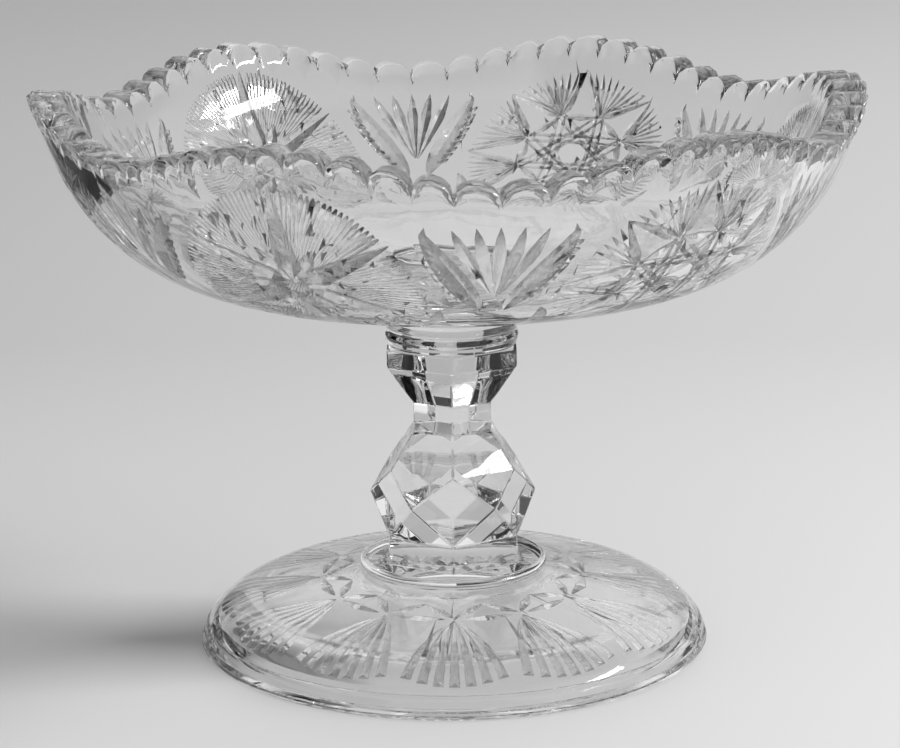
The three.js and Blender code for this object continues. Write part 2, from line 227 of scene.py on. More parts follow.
# Smooth shading: faces that meet at more than this angle keep a sharp edge
SHARP_BOWL = 32
SHARP_WAFER = 40
SHARP_FOOT = 24

# Fused joints: radius of the area where neighbouring pieces are one glass, width of the next ring of faces on
# the bowl's pad, and how level and how near the joint's height a face has to be to belong to it
BOWL_JOINT = 16.6
FOOT_JOINT = 23.4
JOINT_MARGIN = 1.2
JOINT_LEVEL = 0.999
JOINT_NEARNESS = 0.02

# Points round a body of revolution
AROUND = 192

FULL_TURN = 2 * np.pi


def node_span(node):
    """Lowest and highest z of a CAD node, in millimetres."""
    low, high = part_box(node)
    return low[2] / MM, high[2] / MM


FOOT_TOP = node_span("foot")[1]
STEM_BASE, STEM_TOP = node_span("stem")
BOWL_BASE, RIM_HEIGHT = node_span("bowl")


def polar(radius, azimuth, height):
    """Points at a radius and height, at azimuths from +Y towards +X; the three arrays broadcast."""
    radius, azimuth, height = np.broadcast_arrays(radius, azimuth, height)
    return np.stack([radius * np.sin(azimuth), radius * np.cos(azimuth), height], axis=-1).astype(float)


def mesh_from(name, points, faces):
    """A mesh in metres from points in millimetres and faces given by their corners."""
    mesh = bpy.data.meshes.new(name)
    mesh.from_pydata((np.asarray(points) * MM).tolist(), [], [list(map(int, face)) for face in faces])
    mesh.validate()
    mesh.update()
    return mesh


def add_object(name, mesh):
    """Puts a mesh into the scene as a new object."""
    piece = bpy.data.objects.new(name, mesh)
    bpy.context.scene.collection.objects.link(piece)
    return piece


def grid_faces(rows, columns, start=0):
    """Quads of a grid that closes round its columns, as an array of corners."""
    row, column = np.meshgrid(np.arange(rows - 1), np.arange(columns), indexing="ij")
    here = start + row * columns + column
    beside = start + row * columns + (column + 1) % columns
    return np.stack([here, beside, beside + columns, here + columns], axis=-1).reshape(-1, 4)


def closed_by_poles(grid, first_pole, last_pole):
    """Points and faces of a grid of rings (rows, columns, 3), closed at each end by a fan to one point."""
    rows, columns = grid.shape[:2]
    points = np.concatenate([grid.reshape(-1, 3), [first_pole], [last_pole]])
    faces = grid_faces(rows, columns).tolist()
    around = np.arange(columns)
    beside = (around + 1) % columns
    last = (rows - 1) * columns
    faces += np.stack([beside, around, np.full(columns, rows * columns)], axis=-1).tolist()
    faces += np.stack([last + around, last + beside, np.full(columns, rows * columns + 1)], axis=-1).tolist()
    return points, faces


def revolve(name, profile):
    """A body of revolution. Each ring of the profile (radius, height) is swept round the axis; its first
    and last points lie on the axis and close it."""
    profile = np.asarray(profile, float)
    azimuth = -FULL_TURN * np.arange(AROUND) / AROUND
    rings = polar(profile[1:-1, 0][:, None], azimuth[None, :], profile[1:-1, 1][:, None])
    return mesh_from(name, *closed_by_poles(rings, [0, 0, profile[0, 1]], [0, 0, profile[-1, 1]]))


# Shape of the bowl's wall, worked out once: a straight floor, an arc and a straight flare that meet smoothly
def wall_lengths():
    """Lengths of the floor, the corner arc and the flare, from where the two straight lines cross."""
    floor_angle, wall_angle = np.arctan(FLOOR_SLOPE), np.radians(WALL_ANGLE)
    across = BOWL_RADIUS - PAD_RADIUS
    rise = RIM_HEIGHT - BOWL_BASE - PAD_STEP
    cross = np.sin(wall_angle - floor_angle)
    floor_to_corner = (across * np.sin(wall_angle) - rise * np.cos(wall_angle)) / cross
    wall_to_corner = (rise * np.cos(floor_angle) - across * np.sin(floor_angle)) / cross
    tangent = CORNER_RADIUS * np.tan((wall_angle - floor_angle) / 2)
    return floor_to_corner - tangent, CORNER_RADIUS * (wall_angle - floor_angle), wall_to_corner - tangent


FLOOR_LENGTH, ARC_LENGTH, FLARE_LENGTH = wall_lengths()
WALL_LENGTH = FLOOR_LENGTH + ARC_LENGTH + FLARE_LENGTH


def wall_tilt(along):
    """Angle of the wall's line from level at each distance along it: it turns only over the corner arc."""
    turned = np.clip((along - FLOOR_LENGTH) / ARC_LENGTH, 0, 1)
    return np.arctan(FLOOR_SLOPE) * (1 - turned) + np.radians(WALL_ANGLE) * turned


def wall(along, inset=0.0):
    """Radius and height of the wall at distances along its outer line, moved into the bowl by inset.
    The straight parts add their length times cosine and sine, and the arc adds its chord."""
    along = np.asarray(along, float)
    tilt = wall_tilt(along)
    floor_angle, wall_angle = np.arctan(FLOOR_SLOPE), np.radians(WALL_ANGLE)
    on_floor = np.minimum(along, FLOOR_LENGTH)
    on_flare = np.maximum(along - FLOOR_LENGTH - ARC_LENGTH, 0)
    radius = PAD_RADIUS + on_floor * np.cos(floor_angle) + on_flare * np.cos(wall_angle)
    radius = radius + CORNER_RADIUS * (np.sin(tilt) - np.sin(floor_angle))
    height = BOWL_BASE + PAD_STEP + on_floor * np.sin(floor_angle) + on_flare * np.sin(wall_angle)
    height = height + CORNER_RADIUS * (np.cos(floor_angle) - np.cos(tilt))
    return radius - inset * np.sin(tilt), height + inset * np.cos(tilt)


def rim_line():
    """Azimuths of the rim's columns and the rim's height at each. Six scallops fall and rise as a squared
    cosine, and each tooth is half an ellipse whose columns are spaced evenly along it."""
    widths = np.ones(TEETH_PER_SCALLOP)
    widths[[0, -1]] = END_TOOTH_SHARE
    span = FULL_TURN / SCALLOPS
    starts = np.concatenate([[0], np.cumsum(widths)]) / widths.sum() * span
    sweep = np.pi * np.arange(COLUMNS_PER_TOOTH) / COLUMNS_PER_TOOTH
    within = (1 - np.cos(sweep)) / 2
    local = (starts[:-1, None] + (starts[1:] - starts[:-1])[:, None] * within).ravel()
    tooth = np.tile(TOOTH_HEIGHT * (1 - np.sin(sweep)), TEETH_PER_SCALLOP)
    height = RIM_HEIGHT - SCALLOP_DROP * np.cos(np.pi * local / span) ** 2 - tooth
    turns = np.radians(FIRST_VALLEY) + span * np.arange(SCALLOPS)
    azimuth = (turns[:, None] + local[None, :]).ravel()
    return azimuth[::-1], np.tile(height, SCALLOPS)[::-1]


def bowl_blank():
    """The uncut bowl as one closed grid. Its columns are azimuths and its rows run from the pad, up the
    outside, over the toothed rim and down the smooth inside. Near the rim the rows follow the teeth."""
    azimuth, top = rim_line()
    on_floor = np.linspace(0, FLOOR_LENGTH, FLOOR_ROWS)
    fixed = np.concatenate([on_floor, np.linspace(FLOOR_LENGTH, TEETH_FROM, WALL_ROWS)[1:]])
    flare = np.sin(np.radians(WALL_ANGLE))
    lean = np.cos(np.radians(WALL_ANGLE)) / flare
    edge_along = WALL_LENGTH - (RIM_HEIGHT - top + RIM_ROUNDING) / flare
    rising = TEETH_FROM + (edge_along - TEETH_FROM) * np.linspace(0, 1, TEETH_ROWS)[1:, None]
    along = np.concatenate([np.repeat(fixed[:, None], len(azimuth), 1), rising])
    radius, height = wall(along)
    outside = polar(radius, azimuth, height)

    thick = WALL_THICKNESS / flare
    outer_top = BOWL_RADIUS - (RIM_HEIGHT - top) * lean
    turn = np.radians(RIM_TURNS)[:, None]
    rounded = polar(
        outer_top - RIM_ROUNDING * (1 - np.cos(turn)), azimuth, top - RIM_ROUNDING * (1 - np.sin(turn))
    )
    across = np.linspace(0, 1, RIM_TOP_ROWS)[1:-1, None]
    flat = polar(outer_top - RIM_ROUNDING - across * (thick - 2 * RIM_ROUNDING), azimuth, top + 0 * across)
    rounded_in = polar(
        outer_top - thick + RIM_ROUNDING * (1 - np.cos(turn[::-1])),
        azimuth,
        top - RIM_ROUNDING * (1 - np.sin(turn[::-1])),
    )
    radius_in, height_in = wall(along[::-1], WALL_THICKNESS)
    lift = WALL_THICKNESS * np.cos(np.radians(WALL_ANGLE))
    near_rim = np.clip((along[::-1] - TEETH_FROM) / (edge_along - TEETH_FROM), 0, 1)
    drop = lift * near_rim
    inside = polar(radius_in - drop * lean, azimuth, height_in - drop)
    floor_radius = radius_in[-1, 0] * np.linspace(1, 0, INSIDE_FLOOR_ROWS)[1:-1, None]
    centre_height = height_in[-1, 0] - radius_in[-1, 0] * FLOOR_SLOPE / 2
    floor_height = centre_height + FLOOR_SLOPE / 2 * floor_radius**2 / radius_in[-1, 0]
    floor = polar(floor_radius, azimuth, floor_height)
    pad_radius = np.array([BOWL_JOINT * 0.5, BOWL_JOINT, BOWL_JOINT + JOINT_MARGIN, PAD_RADIUS])[:, None]
    pad = polar(pad_radius, azimuth, BOWL_BASE)
    grid = np.concatenate([pad, outside, rounded, flat, rounded_in, inside, floor])
    return mesh_from("bowl_blank", *closed_by_poles(grid, [0, 0, BOWL_BASE], [0, 0, centre_height]))


def on_wall(azimuth):
    """A place on the bowl's outer wall: takes u round the wall and v up it, and gives points and normals."""

    def place(u, v):
        along = PATTERN_CENTRE + np.asarray(v, float)
        radius, height = wall(along)
        tilt = wall_tilt(along)
        at = azimuth + np.asarray(u, float) / radius
        return polar(radius, at, height), polar(np.sin(tilt), at, -np.cos(tilt))

    return place


def edge_height(radius):
    """Height of the foot's rounded edge: the shoulder's height times the sine of the angle whose cosine,
    raised to the edge's fullness, is the share of the way from the shoulder to the rim."""
    share = (np.asarray(radius, float) - SHOULDER_RADIUS) / (FOOT_RADIUS - SHOULDER_RADIUS)
    return SHOULDER_HEIGHT * np.sqrt(1 - np.clip(share, 0, 1) ** (2 / EDGE_FULLNESS))


def hollow_profile():
    """Radius and height of the foot's hollow, from its mouth up a steep side to a ceiling that lies one
    thickness of glass under the top."""
    fall = (FOOT_TOP - SHOULDER_HEIGHT) / (SHOULDER_RADIUS - SEAT_RADIUS)
    mouth = FOOT_RADIUS - REST_INSET - REST_WIDTH
    hub = SHOULDER_HEIGHT + fall * (SHOULDER_RADIUS - HUB_RADIUS) - FOOT_GLASS
    radius = np.linspace(CEILING_EDGE, SHOULDER_RADIUS, CEILING_ROWS)
    under_edge = np.stack([radius, edge_height(radius) - FOOT_GLASS], axis=-1)
    lip = [mouth - HOLLOW_LIP, HOLLOW_LIP]
    return np.array([[mouth, 0], lip, *under_edge, [HUB_RADIUS, hub], [0, hub]])


def under_foot(azimuth):
    """A place on the hollow's ceiling: takes u round it and v outwards from the fans' apex. The normal comes
    from the ceiling's rise over 1 mm, whose middle stays 0.6 mm or more inside the ceiling's edge."""
    profile = hollow_profile()[::-1]

    def ceiling(radius):
        return np.interp(radius, profile[:, 0], profile[:, 1])

    def place(u, v):
        radius = FAN_APEX + np.asarray(v, float)
        inner = np.minimum(radius, CEILING_EDGE - 0.6)
        slope = ceiling(inner + 0.5) - ceiling(inner - 0.5)
        at = azimuth + np.asarray(u, float) / radius
        normal = polar(slope, at, -1)
        normal /= np.linalg.norm(normal, axis=-1, keepdims=True)
        return polar(radius, at, ceiling(radius)), normal

    return place


def mitre(place, path, depth):
    """A mitre cut as a triangular bar along a path of (u, v, half width). The bar's lower edge lies under the
    surface by depth times the half width, and its flat top stands a little above the surface."""
    path = np.asarray(path, float)
    length = np.concatenate([[0], np.cumsum(np.hypot(*np.diff(path[:, :2], axis=0).T))])
    even = np.linspace(0, length[-1], int(length[-1] / CUT_STEP) + 2)
    stops = np.unique(np.concatenate([length, even]))
    u, v, half = (np.interp(stops, length, path[:, i]) for i in range(3))
    points, normals = place(u, v)
    along = np.gradient(points, axis=0)
    side = np.cross(along, normals)
    side /= np.linalg.norm(side, axis=-1, keepdims=True)
    reach = (half + CUT_LIFT / depth)[:, None]
    above = points + CUT_LIFT * normals
    below = points - depth * half[:, None] * normals
    bar = np.stack([above - reach * side, below, above + reach * side], axis=1).reshape(-1, 3)
    end = len(bar)
    return bar, [*grid_faces(len(stops), 3).tolist(), [2, 1, 0], [end - 3, end - 2, end - 1]]


def ring_at(radius, angle, stretch=1.0):
    """A pattern point (u, v) at a radius and an angle in degrees from straight up, on a circle stretched
    sideways."""
    return stretch * radius * np.sin(np.radians(angle)), radius * np.cos(np.radians(angle))


def spindle(start, end, half, widest=0.5, foot=0.0, tip=0.0):
    """A straight path whose half width swells from foot to half and falls to tip. It follows the share of the
    way from that end to the widest place, to a power below one."""
    share = np.unique([0, *SPINDLE_STOPS, widest, 1])
    swell = np.where(share <= widest, share / widest, (1 - share) / (1 - widest)) ** SPINDLE_POWER
    ends = np.where(share <= widest, foot, tip)
    u, v = (first + (last - first) * share for first, last in zip(start, end))
    return np.stack([u, v, ends + (half - ends) * swell], axis=-1)


def hobstar_cuts():
    """Cut paths of a hobstar, in sets that don't touch each other: the two sides of its eight points, the
    octagon at their feet, the double chords that leave a smaller octagon in the middle, and the fans of
    rays from each foot between two points, whose ends lie a little further out towards the fan's sides."""
    step = 360 / HOBSTAR_POINTS
    points = range(HOBSTAR_POINTS)
    tips = [ring_at(HOBSTAR_RADIUS, k * step, HOBSTAR_STRETCH) for k in points]
    waists = [ring_at(HOBSTAR_WAIST, (k + 0.5) * step, HOBSTAR_STRETCH) for k in points]
    after = np.roll(np.arange(HOBSTAR_POINTS), -1)
    sets = [
        [spindle(tips[k], waists[k], HOBSTAR_POINT_HALF, HOBSTAR_POINT_WIDEST[0]) for k in points],
        [spindle(waists[k], tips[after[k]], HOBSTAR_POINT_HALF, HOBSTAR_POINT_WIDEST[1]) for k in points],
        [spindle(waists[k], waists[after[k]], HOBSTAR_OCTAGON_HALF) for k in points if k % 2],
        [spindle(waists[k], waists[after[k]], HOBSTAR_OCTAGON_HALF) for k in points if not k % 2],
    ]
    for k in points:
        near, far = np.array(waists[k]), np.array(waists[(k + 3) % HOBSTAR_POINTS])
        across = np.array([near[1] - far[1], far[0] - near[0]]) / np.hypot(*(far - near)) * CHORD_GAP
        for offset in (-across, across):
            line = near + offset, far + offset
            sets.append([spindle(*line, CHORD_HALF, foot=CHORD_END_HALF, tip=CHORD_END_HALF)])
    for share in np.linspace(-1, 1, HOBSTAR_FAN_RAYS):
        rays = []
        for k in points:
            radius = HOBSTAR_RADIUS - HOBSTAR_FAN_IN + HOBSTAR_FAN_OUT * share**2
            end = ring_at(radius, (k + 0.5 + HOBSTAR_FAN_SPREAD * share) * step, HOBSTAR_STRETCH)
            rays.append(spindle(waists[k], end, HOBSTAR_RAY_HALF, HOBSTAR_RAY_WIDEST))
        sets.append(rays)
    return sets


def rosette_cuts():
    """Cut paths of a comb rosette: six long wedges, widest near the centre, six leaves between them, and the
    comb lines that widen to the round end of each petal."""
    step = 360 / ROSETTE_RAYS
    rays = range(ROSETTE_RAYS)
    leaves = [[ring_at(radius, (k + 0.5) * step) for radius in ROSETTE_LEAF] for k in rays]
    sets = [
        [[(*ring_at(radius, k * step), half) for radius, half in ROSETTE_WEDGE] for k in rays],
        [spindle(start, end, ROSETTE_LEAF_HALF) for start, end in leaves],
    ]
    for parity in (0, 1):
        lines = []
        for k in rays:
            for i in range(parity, COMB_LINES, 2):
                angle = (k + COMB_MARGIN + (1 - 2 * COMB_MARGIN) * i / (COMB_LINES - 1)) * step
                lines.append([(*ring_at(radius, angle), half) for radius, half in COMB_LINE])
        sets.append(lines)
    return sets


def leaf_line(side):
    """A palmette's broad leaf on one side, -1 or 1: u and v along its bowed middle line, and its half width,
    which swells as a sine to the power 0.8. Across, the line is the tip's distance times the power 1.5 of the
    share of the way up, plus the belly times the root of the share that is left and the share plus 0.45."""
    bow = np.linspace(0, 1, LEAF_STOPS)
    root = PALMETTE_FOOT - PATTERN_CENTRE - LEAF_ROOT
    across = LEAF_TIP[0] * bow**1.5 + LEAF_BELLY * (1 - bow) ** 0.5 * (bow + 0.45)
    half = LEAF_HALF * np.sin(np.pi * bow**0.9) ** 0.8
    return side * across, root + (LEAF_TIP[1] - root) * bow, half


def leaf_cuts():
    """Cut paths of a palmette's two broad leaves."""
    return [[np.stack(leaf_line(side), axis=-1)] for side in (-1, 1)]


def palmette_cuts():
    """Cut paths of a palmette's five rays from one foot, the notches on the outer slope of each broad leaf,
    and the two lower leaves that turn round the neighbouring motifs."""
    foot = PALMETTE_FOOT - PATTERN_CENTRE
    top = PALMETTE_TOP - PATTERN_CENTRE
    shares, halves = np.transpose(PALMETTE_RAY)
    sets = []
    for share in np.linspace(-1, 1, PALMETTE_RAYS):
        low = np.array((PALMETTE_ROOT_SPREAD * share, foot))
        high = np.array((PALMETTE_SPREAD * share, top - PALMETTE_ARCH * share**2))
        sets.append([np.column_stack([low + (high - low) * shares[:, None], halves])])
    for side in (-1, 1):
        u, v, half = leaf_line(side)
        for parity in (0, 1):
            notches = []
            for stop in np.linspace(*NOTCH_STOPS, NOTCHES)[parity::2]:
                at_u, at_v, reach = (np.interp(stop, np.arange(LEAF_STOPS), line) for line in (u, v, half))
                inner = at_u + side * (reach - NOTCH_IN), at_v - NOTCH_DOWN
                outer = at_u + side * (reach + NOTCH_OUT), at_v + NOTCH_UP
                notches.append(spindle(inner, outer, NOTCH_HALF, NOTCH_WIDEST, NOTCH_ROOT_HALF))
            sets.append(notches)
        share = np.linspace(0, 1, LOW_LEAF_STOPS)
        turned = np.radians(np.linspace(*LOW_LEAF_ARC, LOW_LEAF_STOPS))
        low_u = side * (LOW_LEAF_CENTRE[0] + LOW_LEAF_RADII[0] * np.sin(turned))
        low_v = foot - LOW_LEAF_CENTRE[1] + LOW_LEAF_RADII[1] * np.cos(turned)
        sets.append([np.stack([low_u, low_v, LOW_LEAF_HALF * np.sin(np.pi * share) ** 0.6], axis=-1)])
    return sets


def foot_fan_cuts():
    """Cut paths of one twelfth of the foot's underside: the flutes of a fan, which spread as a bell and widen
    as the power 0.8 of the way out, the bar from this apex to the next, and the band of triangles inside."""
    span = FULL_TURN / FOOT_FANS
    reach = FAN_END - FAN_APEX
    out = np.linspace(0, 1, FLUTE_STOPS)
    sets = []
    for share in np.linspace(-1, 1, FAN_FLUTES):
        length = reach * (1 - FAN_ROUNDING * share**2)
        swing = share * 0.5 * FAN_SHARE * (1 - 1 / FAN_FLUTES) * span * FAN_END
        half = FLUTE_APEX_HALF + FLUTE_HALF * out**0.8
        sets.append([np.stack([swing * out**FAN_BELL, length * out, half], axis=-1)])
    apart = span * FAN_APEX
    inward = BAND_RADIUS - FAN_APEX
    middle = 0.5 * span * BAND_RADIUS
    first, last = (share * apart for share in APEX_BAR)
    sets.append([spindle((first, -APEX_BAR_IN), (last, -APEX_BAR_IN), APEX_BAR_HALF)])
    sets.append([spindle((0, -BAND_IN), (middle, inward), BAND_HALF)])
    sets.append([spindle((0, -BAND_IN), (-middle, inward), BAND_HALF)])
    return sets


def cutter(paths, places, depth):
    """One cutting object from paths that don't touch each other, repeated at every place."""
    points, faces, start = [], [], 0
    for place in places:
        for path in paths:
            bar, corners = mitre(place, path, depth)
            points.append(bar)
            faces += [[corner + start for corner in face] for face in corners]
            start += len(bar)
    return add_object("cutter", mesh_from("cutter", np.concatenate(points), faces))


def cut(blank, motifs, name):
    """The blank less every motif's cuts, as a new mesh. A motif is its sets of paths, its places and the
    depth of its cuts. One set is taken away at a time, because crossing cuts are slow."""
    for sets, places, depth in motifs:
        for paths in sets:
            tool = cutter(paths, places, depth)
            body = add_object("blank", blank)
            boolean = body.modifiers.new("cuts", "BOOLEAN")
            boolean.operation = "DIFFERENCE"
            boolean.solver = "MANIFOLD"
            boolean.object = tool
            bpy.context.view_layer.update()
            finished = body.evaluated_get(bpy.context.evaluated_depsgraph_get())
            blank = bpy.data.meshes.new_from_object(finished)
            bpy.data.objects.remove(body)
            bpy.data.objects.remove(tool)
    blank.name = name
    return blank


def soften(mesh, angle):
    """Smooth shading, broken at edges sharper than an angle in degrees."""
    mesh.shade_smooth()
    mesh.set_sharp_from_angle(angle=np.radians(angle))


def make_bowl():
    """The bowl: the blank less the six palmettes, three hobstars and three comb rosettes."""
    span = FULL_TURN / SCALLOPS
    valleys = np.radians(FIRST_VALLEY) + span * np.arange(SCALLOPS)
    peaks = valleys + span / 2
    motifs = [
        (leaf_cuts(), [on_wall(at) for at in valleys], LEAF_DEPTH),
        (palmette_cuts(), [on_wall(at) for at in valleys], PATTERN_DEPTH),
        (hobstar_cuts(), [on_wall(at) for at in peaks[::2]], PATTERN_DEPTH),
        (rosette_cuts(), [on_wall(at) for at in peaks[1::2]], PATTERN_DEPTH),
    ]
    return cut(bowl_blank(), motifs, "bowl_glass")


def make_foot():
    """The foot: a cone with a full rounded edge over a hollow, less two fine rings round the edge and the
    fans under it. The edge's rows rise as a sine, with three more for each ring's V-shaped groove."""
    grooves = [ring + side * RING_HALF for ring in EDGE_RINGS for side in (-1, 0, 1)]
    even = SHOULDER_HEIGHT * np.sin(np.radians(np.linspace(EDGE_START, 90, EDGE_ROWS)))
    rise = np.sort([*even, *grooves])[::-1]
    full = (1 - (rise / SHOULDER_HEIGHT).clip(0, 1) ** 2) ** (EDGE_FULLNESS / 2)
    edge_radius = SHOULDER_RADIUS + (FOOT_RADIUS - SHOULDER_RADIUS) * full
    for ring in EDGE_RINGS:
        edge_radius -= RING_DEPTH * np.clip(1 - np.abs(rise - ring) / RING_HALF, 0, 1)
    edge = np.stack([edge_radius, rise], axis=-1)
    seat = [[0, FOOT_TOP], [FOOT_JOINT, FOOT_TOP], [SEAT_RADIUS, FOOT_TOP]]
    cone_radius = np.linspace(SEAT_RADIUS, SHOULDER_RADIUS, CONE_ROWS)[1:-1]
    cone_height = np.interp(cone_radius, [SEAT_RADIUS, SHOULDER_RADIUS], [FOOT_TOP, SHOULDER_HEIGHT])
    cone = np.stack([cone_radius, cone_height], axis=-1)
    rest = [*[[FOOT_RADIUS - inset, height] for inset, height in REST_EDGE], [FOOT_RADIUS - REST_INSET, 0]]
    outline = np.concatenate([seat, cone, edge, rest, hollow_profile()])
    places = [under_foot(at) for at in FULL_TURN * np.arange(FOOT_FANS) / FOOT_FANS]
    blank = revolve("foot_blank", outline[::-1])
    return cut(blank, [(foot_fan_cuts(), places, FLUTE_DEPTH)], "foot_glass")


def make_stem():
    """The stem: rings of six corners joined by flat facets. Each ring has its corner radius, its height and
    its turn as a share of a side. The knop's widest corners lie between the others, so a diamond stands on
    each corner of the stem, with a five-sided facet over and a triangle under."""
    rings = [
        (STEM_BASE_CORNER, 0, 0),
        (*KNOP_LOW, 0),
        (*KNOP_WIDEST, 0.5),
        (*KNOP_HIGH, 0),
        (*SHAFT_FOOT, 0),
        (*SHAFT_TOP, 0),
        (*NECK, 0),
        (*CAPITAL, 0),
        (CAPITAL[0], STEM_TOP - STEM_BASE, 0),
    ]
    side = np.arange(STEM_SIDES)
    step = FULL_TURN / STEM_SIDES
    points = [polar(radius, (side + turn) * step, STEM_BASE + height) for radius, height, turn in rings]
    base, low, wide, high, *upper = [side + STEM_SIDES * i for i in range(len(rings))]
    after, before = np.roll(side, -1), np.roll(side, 1)
    faces = np.stack([base, low, low[after], base[after]], -1).tolist()
    faces += np.stack([low, wide, low[after]], -1).tolist()
    faces += np.stack([low, wide[before], high, wide], -1).tolist()
    faces += np.stack([wide, high, upper[0], upper[0][after], high[after]], -1).tolist()
    for lower, above in zip(upper, upper[1:]):
        faces += np.stack([lower, above, above[after], lower[after]], -1).tolist()
    faces += [base.tolist(), upper[-1][::-1].tolist()]
    return mesh_from("stem_glass", np.concatenate(points), faces)


def make_bowl_wafer():
    """The upper wafer: a disc whose side is drawn into two soft rings, as two turns of a cosine, and flares
    to the bowl's pad as the fourth power of the height."""
    low, high = STEM_TOP, BOWL_BASE
    share = np.linspace(0, 1, BOWL_WAFER_ROWS)
    rings = BOWL_WAFER_RING * (1 - np.cos(4 * np.pi * share)) / 2
    side = BOWL_WAFER_RADIUS + rings + BOWL_WAFER_FLARE * share**4
    outline = [[0, low], [BOWL_JOINT, low], *np.stack([side, low + (high - low) * share], -1)]
    return revolve("bowl_wafer_glass", [*outline, [BOWL_JOINT, high], [0, high]])


def make_foot_wafer():
    """The lower wafer: a thin disc with a full rounded edge."""
    low, high = FOOT_TOP, STEM_BASE
    rounding = (high - low) / 2
    angle = np.radians(np.linspace(-90, 90, FOOT_WAFER_ROWS))
    radius = FOOT_WAFER_RADIUS - rounding * (1 - np.cos(angle))
    height = low + rounding * (1 + np.sin(angle))
    return revolve("foot_wafer_glass", [[0, low], *np.stack([radius, height], -1), [0, high]])


def linear(colour):
    """An sRGB hex colour as linear red, green, blue and full alpha."""
    part = np.array([int(colour[i : i + 2], 16) for i in (1, 3, 5)]) / 255
    part = np.where(part <= 0.04045, part / 12.92, ((part + 0.055) / 1.055) ** 2.4)
    return (*part.tolist(), 1.0)


def add_node(material, kind, settings=None, links=None):
    """Adds a shader node, sets its properties by name and its sockets by name or number, and links them."""
    node = material.node_tree.nodes.new(kind)
    for key, value in (settings or {}).items():
        if isinstance(key, int) or key in node.inputs:
            node.inputs[key].default_value = value
        else:
            setattr(node, key, value)
    for key, source in (links or {}).items():
        material.node_tree.links.new(source, node.inputs[key])
    return node


def new_material(name):
    """A material with an empty node tree and its output node."""
    material = bpy.data.materials.new(name)
    material.use_nodes = True
    material.node_tree.nodes.clear()
    return material, add_node(material, "ShaderNodeOutputMaterial")


def pressed_glass(name, shade):
    """Clear soda-lime glass, pressed in an iron mould and fire polished. It is colourless, its surface is
    bright but gently uneven over a centimetre or so, and lamps shine through it with a loss at each face,
    which is greater where a cut pattern scatters them."""
    material, output = new_material(name)
    place = add_node(material, "ShaderNodeTexCoord").outputs["Object"]
    swell = add_node(material, "ShaderNodeTexNoise", {"Scale": 1 / 0.014, "Detail": 1.0}, {"Vector": place})
    chill = add_node(material, "ShaderNodeTexNoise", {"Scale": 1 / 0.03, "Detail": 2.0}, {"Vector": place})
    tones = {"data_type": "RGBA", "A": linear("#fdfdfd"), "B": linear("#f9f9f9")}
    tint = add_node(material, "ShaderNodeMix", tones, {"Factor": chill.outputs["Fac"]})
    rough = add_node(
        material, "ShaderNodeMapRange", {"To Min": 0.004, "To Max": 0.02}, {"Value": chill.outputs["Fac"]}
    )
    bump = add_node(
        material, "ShaderNodeBump", {"Strength": 0.35, "Distance": 0.0004}, {"Height": swell.outputs["Fac"]}
    )
    glass = add_node(
        material,
        "ShaderNodeBsdfPrincipled",
        {"IOR": 1.52, "Transmission Weight": 1.0},
        {
            "Base Color": tint.outputs["Result"],
            "Roughness": rough.outputs["Result"],
            "Normal": bump.outputs["Normal"],
        },
    )
    path = add_node(material, "ShaderNodeLightPath")
    through = add_node(material, "ShaderNodeBsdfTransparent", {"Color": linear(shade)})
    mix = add_node(
        material,
        "ShaderNodeMixShader",
        {},
        {"Fac": path.outputs["Is Shadow Ray"], 1: glass.outputs["BSDF"], 2: through.outputs["BSDF"]},
    )
    material.node_tree.links.new(mix.outputs["Shader"], output.inputs["Surface"])
    return material


def fused_joint():
    """Where two pieces were joined hot there is no surface: the glass runs on from one to the other."""
    material, output = new_material("hot_joined_glass")
    place = add_node(material, "ShaderNodeTexCoord").outputs["Object"]
    cord = add_node(material, "ShaderNodeTexNoise", {"Scale": 1 / 0.008, "Detail": 1.0}, {"Vector": place})
    tones = {"data_type": "RGBA", "A": linear("#ffffff"), "B": linear("#fcfcfc")}
    tint = add_node(material, "ShaderNodeMix", tones, {"Factor": cord.outputs["Fac"]})
    open_joint = add_node(material, "ShaderNodeBsdfTransparent", {}, {"Color": tint.outputs["Result"]})
    material.node_tree.links.new(open_joint.outputs["BSDF"], output.inputs["Surface"])
    return material


def add_piece(name, mesh, node, joints, glass):
    """Adds a glass piece that stands for a CAD node. Faces that lie at a joint's height and inside its radius
    take the fused joint's material."""
    piece = add_object(name, mesh)
    mesh.materials.clear()
    mesh.materials.append(glass)
    mesh.materials.append(FUSED)
    centres = np.empty(len(mesh.polygons) * 3)
    mesh.polygons.foreach_get("center", centres)
    normals = np.empty(len(mesh.polygons) * 3)
    mesh.polygons.foreach_get("normal", normals)
    centres, normals = centres.reshape(-1, 3) / MM, normals.reshape(-1, 3)
    slots = np.zeros(len(mesh.polygons), int)
    level = np.abs(normals[:, 2]) > JOINT_LEVEL
    for height, radius in joints:
        inside = np.hypot(centres[:, 0], centres[:, 1]) < radius
        slots[level & inside & (np.abs(centres[:, 2] - height) < JOINT_NEARNESS)] = 1
    mesh.polygons.foreach_set("material_index", slots)
    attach(piece, "root")
    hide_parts(node)
    return piece


